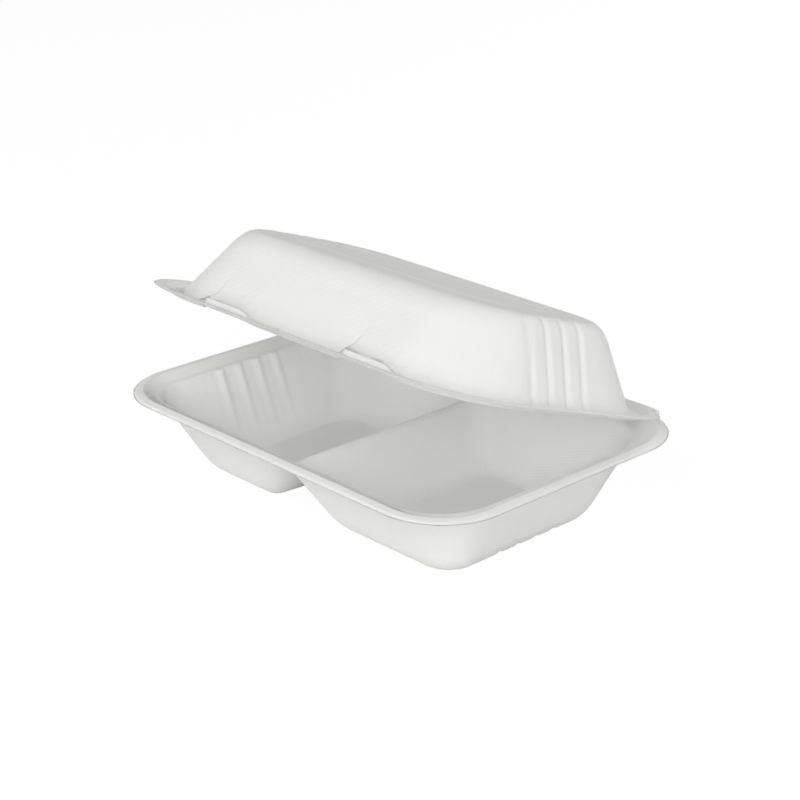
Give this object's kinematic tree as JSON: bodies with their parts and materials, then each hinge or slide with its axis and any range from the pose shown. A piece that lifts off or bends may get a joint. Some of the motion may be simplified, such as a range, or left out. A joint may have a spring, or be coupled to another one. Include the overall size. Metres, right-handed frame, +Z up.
{
  "type": "hinged meal box",
  "caption": "Hinged meal box pressed from sugarcane pulp: a shallow tray with a low divider between its compartments, and a domed lid that folds about a crease.",
  "frame": {"origin": "middle of the tray's underside, on the table", "axes": "+X along the long side, +Y towards the crease at the back, +Z up"},
  "size_m": [0.232, 0.1686, 0.1198],
  "materials": {
    "pulp": "matte"
  },
  "bodies": {
    "base": {"base": "pulp"},
    "lid": {"lid": "pulp"}
  },
  "joints": [
    {"name": "lid_crease", "type": "hinge", "parent": "base", "child": "lid", "pos_m": [0, 0.0842, 0.04305], "axis": [-1, 0, 0], "range_deg": [-19.4, 160.6]}
  ]
}
